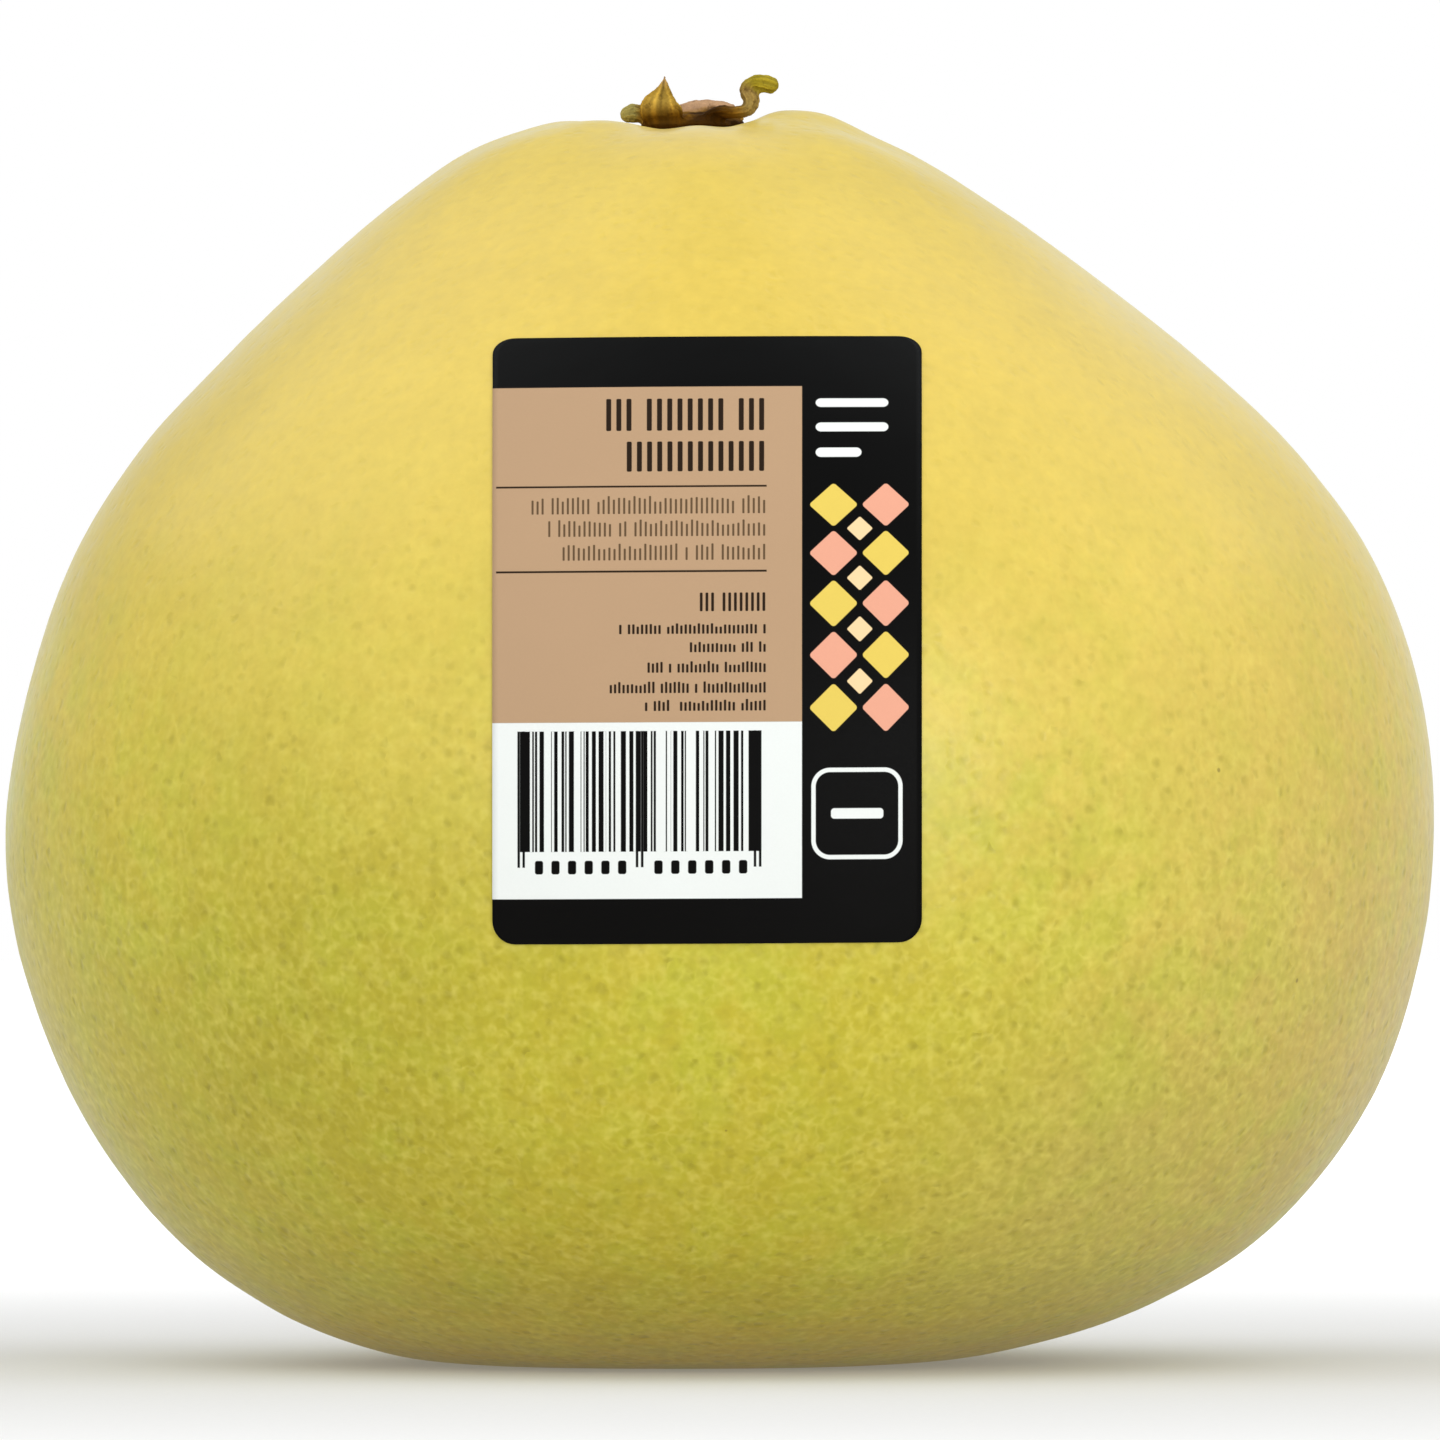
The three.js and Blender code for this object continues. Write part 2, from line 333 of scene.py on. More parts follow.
def mottle_group():
    """Uneven colour: broad blots and fine grain that lighten and darken a base colour."""
    inputs = [
        ("Base", COLOR, (0.5, 0.5, 0.5, 1)),
        ("Place", VECTOR),
        ("Blot Size", FLOAT, 0.01),
        ("Blot Strength", FLOAT, 0.1),
        ("Grain Size", FLOAT, 0.001),
        ("Grain Strength", FLOAT, 0.1),
        ("Seed", FLOAT, 0.0),
    ]
    graph, given, last = new_group("mottle", "ShaderNodeTree", inputs, [("Color", COLOR), ("Grain", FLOAT)])
    noise = {"detail": 3.0, "roughness": 0.55, "seed": given["Seed"]}
    grain = graph.noise(given["Place"], given["Grain Size"], **noise)
    blots = graph.noise(given["Place"], given["Blot Size"], **noise)
    blot_part = graph.times(graph.minus(blots, 0.5), given["Blot Strength"])
    grain_part = graph.times(graph.minus(grain, 0.5), given["Grain Strength"])
    color = graph.scaled(given["Base"], graph.plus(blot_part, grain_part, 1.0))
    graph.end(last, {"Color": color, "Grain": grain})
    return graph.tree


def specks_group():
    """Small round specks, sparse and of uneven size."""
    inputs = [("Place", VECTOR), ("Spacing", FLOAT, 0.01), ("Radius", FLOAT, 0.0003), ("Share", FLOAT, 0.5)]
    graph, given, last = new_group("specks", "ShaderNodeTree", inputs, [("Mask", FLOAT)])
    pattern = {"Vector": given["Place"], "Scale": graph.over(1.0, given["Spacing"]), "Randomness": 1.0}
    cells = graph.add("ShaderNodeTexVoronoi", pattern).outputs
    chance, size, _ = graph.separate(cells["Color"])
    distance = graph.times(cells["Distance"], given["Spacing"])
    radius = graph.times(given["Radius"], graph.remap(size, 0.0, 1.0, least=0.4, most=1.4))
    inside = graph.math("SUBTRACT", 1.0, graph.remap(graph.over(distance, radius), 0.6, 1.2), clamp=True)
    kept = graph.math("LESS_THAN", chance, given["Share"])
    graph.end(last, {"Mask": graph.times(inside, kept)})
    return graph.tree


MOTTLE = mottle_group()
SPECKS = specks_group()


def mottled(graph, base, place, blots, grain, seed):
    """A mottled colour, and its grain. blots and grain are each a size in millimetres and a strength."""
    values = {
        "Base": base,
        "Place": place,
        "Blot Size": mm(blots[0]),
        "Blot Strength": blots[1],
        "Grain Size": mm(grain[0]),
        "Grain Strength": grain[1],
        "Seed": seed,
    }
    node = graph.group(MOTTLE, values)
    return node.outputs["Color"], node.outputs["Grain"]


def speckled(graph, base, place, specks, strength, tint):
    """A colour with specks over it: their spacing and radius in millimetres, and the share that is kept."""
    spacing, radius, share = specks
    values = {"Place": place, "Spacing": mm(spacing), "Radius": mm(radius), "Share": share}
    mask = graph.group(SPECKS, values).outputs["Mask"]
    return graph.mix(graph.times(mask, strength), base, tint)


def new_material(name):
    """An empty material with its surface shader and Object coordinates."""
    material = bpy.data.materials.new(name)
    material.use_nodes = True
    tree = material.node_tree
    graph = Graph(tree)
    surface = tree.nodes["Principled BSDF"]
    place = graph.add("ShaderNodeTexCoord").outputs["Object"]
    return material, graph, surface, place


def roughness(graph, grain, smoothest, roughest):
    """Roughness that follows the grain."""
    return graph.remap(grain, 0.3, 0.7, smoothest, roughest)


def finish(graph, surface, color, grain, relief, rough, bump, depth, specular):
    """Links a surface's colour, its roughness and its bump, which follows the relief."""
    bumps = graph.add("ShaderNodeBump", {"Strength": bump, "Distance": mm(depth), "Height": relief})
    surface.inputs["Specular IOR Level"].default_value = specular
    links = {"Base Color": color, "Roughness": roughness(graph, grain, *rough), "Normal": bumps.outputs[0]}
    graph.end(surface, links)


# ---------------------------------------------------------------- rind

SKIN_COLORS = [  # share of the fruit's height, and colour: darker towards the foot, partly the rind's own greener colour and partly painted shade
    (0.0, srgb(179, 162, 34)),
    (0.1, srgb(184, 169, 37)),
    (0.28, srgb(188, 174, 41)),
    (0.47, srgb(208, 187, 75)),
    (0.6, srgb(215, 190, 83)),
    (0.85, srgb(216, 188, 77)),
    (1.0, srgb(213, 187, 76)),
]
RIPER_AND_LESS_SHADED_TO_RIGHT = 1.3  # share of the height that a metre to the right is worth, which moves the ramp's painted shade as well as its ripeness
RIPENING_DRIFT = 0.25
# Each patch: its middle on the skin, its reach, its strength and its colour. The first is partly a browner
# cheek and partly painted shade on the right flank, and the last three are painted highlights.
SKIN_PATCHES_AND_PAINTED_LIGHT = [
    # partly a browner cheek, partly painted shade darkening the right flank
    ((84, -30, 40), 80, 0.6, srgb(186, 154, 84)),
    ((-44, -62, 45), 44, 0.55, srgb(162, 152, 24)),
    ((-78, -10, 100), 70, 0.5, srgb(200, 172, 38)),
    ((42, -56, 20), 42, 0.36, srgb(188, 172, 100)),
    # painted highlights: pale sheen on the crown and on the right and left shoulders
    ((-4, -20, 148.5), 16, 0.35, srgb(222, 198, 136)),
    ((52, -18, 127), 32, 0.3, srgb(228, 212, 158)),
    ((-50, -16, 127), 30, 0.25, srgb(222, 206, 142)),
]
# Each tint: the distance where it begins and where it is full, its strength there and its colour.
FOOT_TINT = (11, 1, 0.7, srgb(203, 172, 52))  # by height
GREEN_TINT = (115, 60, 0.38, srgb(176, 186, 48))  # by height
RUSSET_TINT = (13, 7, 0.6, srgb(188, 150, 76))  # round the calyx
STYLE_TINT = (4.6, 3, 0.85, srgb(92, 66, 28))  # the scar of the style, under the fruit
RAGGED_BY = 3  # how far the noise pushes the edges of the last two
HALF_WAY_UP = 100  # height that parts the calyx's end from the style's
# Patterns of the skin: their size, and the noise where they begin and are full.
DRIFT = {"size": mm(45), "seed": 3.0}
GREEN_BLOTS = {
    "size": mm(7),
    "low": 0.4,
    "high": 0.64,
    "smooth": True,
    "detail": 3.0,
    "roughness": 0.6,
    "seed": 8.0,
}
GREEN_FIELDS = {"size": mm(30), "low": 0.35, "high": 0.65, "least": 0.3, "detail": 1.0, "seed": 1.5}
CLUSTERS = {
    "size": mm(9),
    "low": 0.35,
    "high": 0.65,
    "least": 0.15,
    "most": 0.4,
    "detail": 1.0,
    "seed": 6.0,
}
NET = {"size": mm(1.8), "detail": 1.0, "seed": 12.0}
FLECK_GRAIN = {"size": mm(1.25), "detail": 1.0, "seed": 12.0}
RAGGED = {"size": mm(2.5), "detail": 3.0, "roughness": 0.6, "seed": 1.0}
GLAND_SPACING = 1.5
GLAND_WARP = 2.2
GLAND_HEIGHTS = (118, 42)  # heights where the glands are faintest and strongest
GLAND_STRENGTHS = (0.07, 0.42)
PIT_COLOR = srgb(132, 120, 10)
PIT_EDGES = (0.08, 0.6)  # how far from its middle a pit is full and ends, in shares of the spacing
FAINTEST_PIT = 0.25  # share of the pits, by chance, that are too faint to see
NET_WIDTH = 0.14
NET_COLOR = srgb(232, 220, 104)
FLECKS = [  # noise where they begin and are full, strength, colour
    (0.5, 0.78, 0.6, srgb(236, 224, 116)),
    (0.5, 0.24, 0.4, PIT_COLOR),
]
SPECK_COLOR = srgb(96, 78, 30)
GRAIN_RELIEF = 0.7  # how far the grain stands up, against the depth of a pit
RIND_FINISH = {"rough": (0.3, 0.38), "bump": 0.4, "depth": 0.12, "specular": 0.4}


def tinted(graph, base, distance, tint, *within):
    """A colour with a tint over it where a distance in metres is small, and within the masks given."""
    begins, full, strength, color = tint
    share = graph.remap(distance, mm(begins), mm(full), 0.0, strength, smooth=True)
    return graph.mix(graph.times(share, *within), base, color)


def broad_skin_with_painted_light(graph, place):
    """The skin's broad colours: riper upwards and to the right, with painted shade making the foot darker,
    large patches, some of them painted shade and painted highlights, and greener blots.
    """
    x, _, z = graph.separate(place)
    drift = graph.minus(graph.noise(place, **DRIFT), 0.5)
    # the ramp factor: ripeness, and less painted shade higher up and to the right
    ripeness_and_shade = graph.plus(graph.over(z, cad_box[1][2]), graph.times(x, RIPER_AND_LESS_SHADED_TO_RIGHT))
    ripeness_and_shade = graph.plus(ripeness_and_shade, graph.times(drift, RIPENING_DRIFT), clamp=True)
    skin = tinted(graph, graph.ramp(ripeness_and_shade, SKIN_COLORS), z, FOOT_TINT)
    # the patches: colour, painted shade on the right flank and painted highlights on the crown and the
    # shoulders
    for middle, reach, strength, color in SKIN_PATCHES_AND_PAINTED_LIGHT:
        away = graph.length(graph.vector("SUBTRACT", place, tuple(mm(c) for c in middle)))
        skin = tinted(graph, skin, away, (reach, 0, strength, color))
    blots = graph.patches(place, **GREEN_BLOTS)
    fields = graph.patches(place, **GREEN_FIELDS)
    return tinted(graph, skin, z, GREEN_TINT, blots, fields)


def glands(graph, place, skin):
    """Adds the oil glands: pits, a lighter net between them, and flecks. Gives the pits' depth too."""
    warp = graph.add("ShaderNodeTexNoise", {"Vector": place, "Scale": 1 / mm(GLAND_WARP), "Detail": 2.0})
    shift = graph.vector("SUBTRACT", warp.outputs["Color"], (0.5, 0.5, 0.5))
    bent = graph.vector("ADD", place, graph.scaled(shift, mm(GLAND_SPACING)))
    pattern = {"Vector": bent, "Scale": 1 / mm(GLAND_SPACING), "Randomness": 1.0}
    cells = graph.add("ShaderNodeTexVoronoi", pattern).outputs
    pit = graph.remap(cells["Distance"], *PIT_EDGES, 1.0, 0.0, smooth=True)
    depth = graph.times(pit, graph.remap(graph.separate(cells["Color"])[0], FAINTEST_PIT, 1.0))
    from_height, to_height = GLAND_HEIGHTS
    z = graph.separate(place)[2]
    strength = graph.remap(z, mm(from_height), mm(to_height), *GLAND_STRENGTHS, smooth=True)
    skin = graph.mix(graph.times(depth, strength), skin, PIT_COLOR)

    ridge = graph.math("ABSOLUTE", graph.minus(graph.noise(bent, **NET), 0.5))
    net = graph.remap(ridge, 0.0, NET_WIDTH, 1.0, 0.0, smooth=True)
    clusters = graph.patches(place, **CLUSTERS)
    skin = graph.mix(graph.times(net, strength, clusters), skin, NET_COLOR)
    grain = graph.noise(place, **FLECK_GRAIN)
    for low, high, share, color in FLECKS:
        skin = graph.mix(graph.times(graph.remap(grain, low, high), strength, share), skin, color)
    return skin, depth


def rind_material():
    material, graph, surface, place = new_material("pomelo_rind")
    skin, depth = glands(graph, place, broad_skin_with_painted_light(graph, place))
    skin, grain = mottled(graph, skin, place, blots=(12, 0.14), grain=(1.8, 0.2), seed=5.0)
    skin = speckled(graph, skin, place, specks=(13, 0.32, 0.6), strength=0.55, tint=SPECK_COLOR)

    # russet skin round the calyx, and the brown scar of the style under the fruit
    x, y, _ = graph.separate(graph.vector("SUBTRACT", place, (mm(STEM_X), 0.0, 0.0)))
    reach = graph.math("SQRT", graph.plus(graph.times(x, x), graph.times(y, y)))
    ragged = graph.plus(reach, graph.times(graph.noise(place, **RAGGED), mm(RAGGED_BY)))
    top = graph.math("GREATER_THAN", graph.separate(place)[2], mm(HALF_WAY_UP))
    skin = tinted(graph, skin, ragged, RUSSET_TINT, top)
    skin = tinted(graph, skin, ragged, STYLE_TINT, graph.minus(1.0, top))

    relief = graph.plus(graph.times(depth, -1.0), graph.times(grain, GRAIN_RELIEF))
    finish(graph, surface, skin, grain, relief, **RIND_FINISH)
    return material


def crown_lump_group():
    """A lump on the crown: how high it stands at a place."""
    inputs = [("Place", VECTOR), ("Middle", VECTOR), ("Rise", FLOAT), ("Spread", FLOAT)]
    graph, given, last = new_group("crown_lump", "GeometryNodeTree", inputs, [("Height", FLOAT)])
    x, y, _ = graph.separate(graph.vector("SUBTRACT", given["Place"], given["Middle"]))
    square = graph.plus(graph.times(x, x), graph.times(y, y))
    spread = graph.times(given["Spread"], given["Spread"])
    fall = graph.math("EXPONENT", graph.times(graph.over(square, spread), -1.0))
    graph.end(last, {"Height": graph.times(fall, given["Rise"])})
    return graph.tree


def rind_tree():
    """Turns four meridians, one after another in one mesh, into the closed skin that runs through them."""
    inputs = [
        ("Meridians", GEOMETRY),
        ("Rows", INTEGER, 100),
        ("Columns", INTEGER, 100),
        ("Stem X", FLOAT),
        ("Quarter Swell", FLOAT),
        ("Eighth Swell", FLOAT),
        ("Furrow Count", INTEGER, 7),
        ("Furrow Depth", FLOAT),
        ("Furrow Reach", FLOAT, 1.0),
        ("Furrow Spread", FLOAT, 1.0),
        ("Unevenness", FLOAT),
        ("Dimple Depth", FLOAT),
        ("Seed", FLOAT),
        ("Material", MATERIAL),
    ]
    graph, given, last = new_group("rind_from_meridians", "GeometryNodeTree", inputs, [("Rind", GEOMETRY)])
    rows, columns = given["Rows"], given["Columns"]
    grid = graph.add("GeometryNodeMeshGrid", {"Vertices X": columns, "Vertices Y": rows}).outputs[0]
    index = graph.add("GeometryNodeInputIndex").outputs[0]
    place = graph.add("GeometryNodeInputPosition").outputs[0]
    row = graph.math("MODULO", index, rows)
    column = graph.math("FLOOR", graph.over(graph.plus(index, 0.5), rows))
    azimuth = graph.times(graph.over(column, graph.minus(columns, 1.0)), 2 * math.pi)

    def meridian(side):
        at = graph.plus(row, graph.times(rows, float(side)))
        sampled = {"Geometry": given["Meridians"], "Value": place, "Index": at}
        node = graph.add("GeometryNodeSampleIndex", sampled, data_type="FLOAT_VECTOR", domain="POINT")
        reach, _, height = graph.separate(node.outputs[0])
        return reach, height

    (right, height), (back, _), (left, _), (front, _) = (meridian(side) for side in range(4))

    def wave(function, turns, size):
        return graph.times(graph.math(function, graph.times(azimuth, float(turns))), size)

    across = graph.plus(right, left)
    along = graph.plus(back, front)
    reach = graph.plus(
        graph.times(graph.plus(across, along), 0.25),
        wave("COSINE", 1, graph.times(graph.minus(right, left), 0.5)),
        wave("SINE", 1, graph.times(graph.minus(back, front), 0.5)),
        wave("COSINE", 2, graph.times(graph.minus(across, along), 0.25)),
    )
    swell = graph.plus(wave("SINE", 2, given["Quarter Swell"]), wave("SINE", 4, given["Eighth Swell"]), 1.0)
    reach = graph.times(reach, swell)
    x = graph.plus(given["Stem X"], graph.times(reach, graph.math("COSINE", azimuth)))
    y = graph.times(reach, graph.math("SINE", azimuth))

    # lumps and furrows of the crown
    spot = graph.combine(x, y, 0.0)
    lump = crown_lump_group()
    rise = 0.0
    for lump_x, lump_y, lump_rise, spread in CROWN_LUMPS:
        middle = (mm(lump_x), mm(lump_y), 0)
        values = {"Place": spot, "Middle": middle, "Rise": mm(lump_rise), "Spread": mm(spread)}
        rise = graph.plus(graph.group(lump, values).outputs[0], rise)
    fall = graph.bell(graph.over(graph.minus(reach, given["Furrow Reach"]), given["Furrow Spread"]))
    ripple = graph.math("SINE", graph.times(azimuth, given["Furrow Count"]))
    narrowing = graph.over(reach, given["Furrow Reach"])
    rise = graph.plus(rise, graph.times(ripple, given["Furrow Depth"], fall, narrowing))
    upper = graph.math("GREATER_THAN", row, graph.times(rows, 0.5))
    z = graph.math("MAXIMUM", graph.plus(height, graph.times(rise, upper)), 0.0)
    shape = {"Geometry": grid, "Position": graph.combine(x, y, z)}
    shaped = graph.add("GeometryNodeSetPosition", shape).outputs[0]
    merge = {"Geometry": shaped, "Distance": mm(MERGE_DISTANCE)}
    closed = graph.add("GeometryNodeMergeByDistance", merge).outputs[0]

    # broad unevenness and shallow dimples, only inwards, and none where the fruit rests
    low, high = UNEVEN_FROM
    free = graph.remap(graph.separate(place)[2], mm(low), mm(high), smooth=True)
    broad = graph.noise(place, mm(UNEVENNESS["size"]), detail=1.0, roughness=0.4, seed=given["Seed"])
    fine = graph.noise(place, mm(DIMPLES["size"]), detail=2.0, roughness=0.6, seed=given["Seed"])
    depth = graph.plus(graph.times(broad, given["Unevenness"]), graph.times(fine, given["Dimple Depth"]))
    normal = graph.add("GeometryNodeInputNormal").outputs[0]
    offset = graph.scaled(normal, graph.times(depth, graph.times(free, -1.0)))
    uneven = graph.add("GeometryNodeSetPosition", {"Geometry": closed, "Offset": offset}).outputs[0]
    graph.end(last, {"Rind": coated(graph, uneven, given["Material"])})
    return graph.tree


def build_rind():
    lines = np.array(RIND_LINES, float)
    points = []
    for side in range(1, 5):
        meridian = curve_through(lines[:, [side, 0]], RIND_ROWS)
        points += [(mm(reach), 0.0, mm(height)) for reach, height in meridian]
    rind = mesh_piece("pomelo_rind", points)
    values = {
        "Rows": RIND_ROWS,
        "Columns": RIND_COLUMNS,
        "Stem X": mm(STEM_X),
        "Quarter Swell": QUARTER_SWELL,
        "Eighth Swell": EIGHTH_SWELL,
        "Furrow Count": FURROWS["count"],
        "Furrow Depth": mm(FURROWS["depth"]),
        "Furrow Reach": mm(FURROWS["reach"]),
        "Furrow Spread": mm(FURROWS["spread"]),
        "Unevenness": mm(UNEVENNESS["depth"]),
        "Dimple Depth": mm(DIMPLES["depth"]),
        "Seed": RIND_SEED,
        "Material": rind_material(),
    }
    run_tree(rind, rind_tree(), values)
    return rind


# ---------------------------------------------------------------- sticker

# Places on the print are in millimetres across from the sticker's middle and up from its foot.
PRINT_FOOT = -0.1  # where the sticker's own edge cuts the print
EDGE_BLUR = 0.04  # half width of the soft edge of each printed shape
INK = srgb(40, 28, 18)
BLACK = srgb(7, 6, 5)
KRAFT = srgb(180, 149, 117)
KRAFT_DARK = srgb(96, 76, 54)
WHITE = srgb(228, 232, 229)
YELLOW = srgb(222, 196, 92)
PINK = srgb(226, 162, 136)
CREAM = srgb(234, 206, 158)
PAPER = srgb(120, 116, 108)
PRINT_FINISH = {"rough": (0.42, 0.52), "bump": 0.1, "depth": 0.03, "specular": 0.06}
PAPER_ROUGHNESS = (0.7, 0.85)


def block_group():
    """A plain printed shape: a rectangle with round corners."""
    inputs = [
        ("Print", VECTOR),
        ("Middle", VECTOR),
        ("Half Width", FLOAT, 1.0),
        ("Half Height", FLOAT, 1.0),
        ("Corner", FLOAT, 0.1),
    ]
    graph, given, last = new_group("print_block", "ShaderNodeTree", inputs, [("Mask", FLOAT)])
    x, y, _ = graph.separate(graph.vector("SUBTRACT", given["Print"], given["Middle"]))

    def beyond(value, half):
        return graph.minus(graph.math("ABSOLUTE", value), graph.minus(half, given["Corner"]))

    over_x = beyond(x, given["Half Width"])
    over_y = beyond(y, given["Half Height"])
    out_x = graph.math("MAXIMUM", over_x, 0.0)
    out_y = graph.math("MAXIMUM", over_y, 0.0)
    outer = graph.math("SQRT", graph.plus(graph.times(out_x, out_x), graph.times(out_y, out_y)))
    inner = graph.math("MINIMUM", graph.math("MAXIMUM", over_x, over_y), 0.0)
    distance = graph.minus(graph.plus(outer, inner), given["Corner"])
    graph.end(last, {"Mask": graph.remap(distance, -EDGE_BLUR, EDGE_BLUR, 1.0, 0.0)})
    return graph.tree


def row_group(block):
    """Upright strokes side by side, uneven in height, of which a share is left out at random."""
    inputs = [
        ("Print", VECTOR),
        ("Pitch", FLOAT, 1.0),
        ("Fill", FLOAT, 1.0),
        ("Half Height", FLOAT, 1.0),
        ("Unevenness", FLOAT, 0.0),
        ("Corner", FLOAT, 0.1),
        ("Share", FLOAT, 1.0),
        ("Seed", FLOAT, 0.0),
    ]
    graph, given, last = new_group("print_row", "ShaderNodeTree", inputs, [("Mask", FLOAT)])
    x, y, _ = graph.separate(given["Print"])
    pitch, half_height = given["Pitch"], given["Half Height"]
    steps = graph.over(x, pitch)
    cell = graph.plus(graph.math("FLOOR", steps), given["Seed"])
    chances = graph.add("ShaderNodeTexWhiteNoise", {"W": cell}, noise_dimensions="1D").outputs
    kept = graph.math("LESS_THAN", chances["Value"], given["Share"])
    within = graph.times(graph.minus(graph.math("FRACT", steps), 0.5), pitch)
    cut = graph.times(graph.separate(chances["Color"])[1], given["Unevenness"])
    values = {
        "Print": graph.combine(within, graph.plus(y, graph.times(cut, half_height)), 0.0),
        "Half Width": graph.times(pitch, given["Fill"], 0.5),
        "Half Height": graph.times(half_height, graph.minus(1.0, cut)),
        "Corner": given["Corner"],
    }
    graph.end(last, {"Mask": graph.times(graph.group(block, values).outputs[0], kept)})
    return graph.tree


HEADING = {"Pitch": 1.18, "Fill": 0.5, "Unevenness": 0.0, "Share": 0.84}
BODY = {"Pitch": 0.6, "Fill": 0.42, "Unevenness": 0.35, "Share": 0.88}
SMALL = {"Pitch": 0.5, "Fill": 0.56, "Unevenness": 0.35, "Share": 0.86}
BARS = {"Pitch": 0.3, "Fill": 1.4, "Unevenness": 0.0, "Share": 0.46}
DOTS = {"Pitch": 1.96, "Fill": 0.5, "Unevenness": 0.0, "Share": 1.0}
PANEL_RIGHT = 11.0
TEXT_RIGHT = 6.9
# Each mark: colour, left, right, bottom, top, corner. A row of strokes has its kind and its seed as well.
PRINT_MARKS = [
    (KRAFT, -30, PANEL_RIGHT, 25.6, 68.8, 0),
    (WHITE, -30, PANEL_RIGHT, 5.15, 25.6, 0),
    # heading, two rules and the lines between them
    (INK, -12.0, TEXT_RIGHT, 62.2, 67.0, 0.2, HEADING, 3),
    (INK, -9.6, TEXT_RIGHT, 56.5, 60.7, 0.2, HEADING, 44),
    (INK, -24.8, TEXT_RIGHT, 54.4, 54.65, 0),
    (INK, -24.8, TEXT_RIGHT, 43.5, 43.75, 0),
    (KRAFT_DARK, -20.7, TEXT_RIGHT, 50.9, 53.3, 0.1, BODY, 3),
    (KRAFT_DARK, -18.7, TEXT_RIGHT, 48.0, 50.2, 0.1, BODY, 61),
    (KRAFT_DARK, -17.0, TEXT_RIGHT, 45.0, 47.2, 0.1, BODY, 127),
    # small lines under the second rule
    (INK, -1.0, TEXT_RIGHT, 38.7, 41.0, 0.15, {**HEADING, "Pitch": 0.66}, 12),
    (INK, -10.3, TEXT_RIGHT, 36.0, 37.3, 0.1, SMALL, 5),
    (INK, -2.1, TEXT_RIGHT, 33.8, 35.1, 0.1, SMALL, 47),
    (INK, -7.0, TEXT_RIGHT, 31.4, 32.8, 0.1, SMALL, 211),
    (INK, -11.4, TEXT_RIGHT, 29.0, 30.4, 0.1, SMALL, 97),
    (INK, -7.3, TEXT_RIGHT, 26.9, 28.3, 0.1, SMALL, 151),
    # plain bars, with a row of dots under them
    (BLACK, -22.2, 6.3, 10.6, 24.6, 0, BARS, 19),
    (BLACK, -22.2, 6.6, 10.6, 24.6, 0, {**BARS, "Pitch": 1.2, "Fill": 0.3, "Share": 1.0}, 0),
    (WHITE, -21.0, 5.1, 10.6, 24.6, 0, {**BARS, "Pitch": 0.87, "Fill": 0.3, "Share": 1.0}, 0),
    (BLACK, -22.2, -21.9, 8.8, 24.6, 0),
    (BLACK, -21.6, -21.3, 8.8, 24.6, 0),
    (BLACK, -8.25, -7.95, 8.8, 24.6, 0),
    (BLACK, -7.65, -7.35, 8.8, 24.6, 0),
    (BLACK, 5.4, 5.7, 8.8, 24.6, 0),
    (BLACK, 6.0, 6.3, 8.8, 24.6, 0),
    (BLACK, -20.6, -8.85, 8.0, 9.6, 0.3, DOTS, 0),
    (BLACK, -6.6, 5.15, 8.0, 9.6, 0.3, DOTS, 0),
    # three white bars and a white frame on the black side
    (WHITE, 12.6, 21.2, 65.6, 66.9, 0.65),
    (WHITE, 12.6, 21.2, 62.0, 63.3, 0.65),
    (WHITE, 12.6, 18.0, 58.4, 59.7, 0.65),
    (WHITE, 12.1, 22.9, 9.6, 20.2, 2.2),
    (BLACK, 12.6, 22.4, 10.1, 19.7, 1.7),
    (WHITE, 14.4, 20.6, 14.3, 15.5, 0.4),
]
# A lattice of lozenges on the black side, with smaller ones between them.
LATTICE = {"x": (14.7, 20.9), "foot": 27.2, "pitch": 6.2, "rows": 5}
LOZENGE = (2.05, 0.4)  # half side, corner
SMALL_LOZENGE = (1.1, 0.2)


def print_lozenges():
    """Each lozenge's colour, x, y, half side and corner."""
    foot, pitch, rows = LATTICE["foot"], LATTICE["pitch"], LATTICE["rows"]
    for row in range(rows):
        for column, x in enumerate(LATTICE["x"]):
            yield (YELLOW, PINK)[(row + column) % 2], x, foot + pitch * row, *LOZENGE
    for row in range(rows - 1):
        yield CREAM, sum(LATTICE["x"]) / 2, foot + pitch * (row + 0.5), *SMALL_LOZENGE


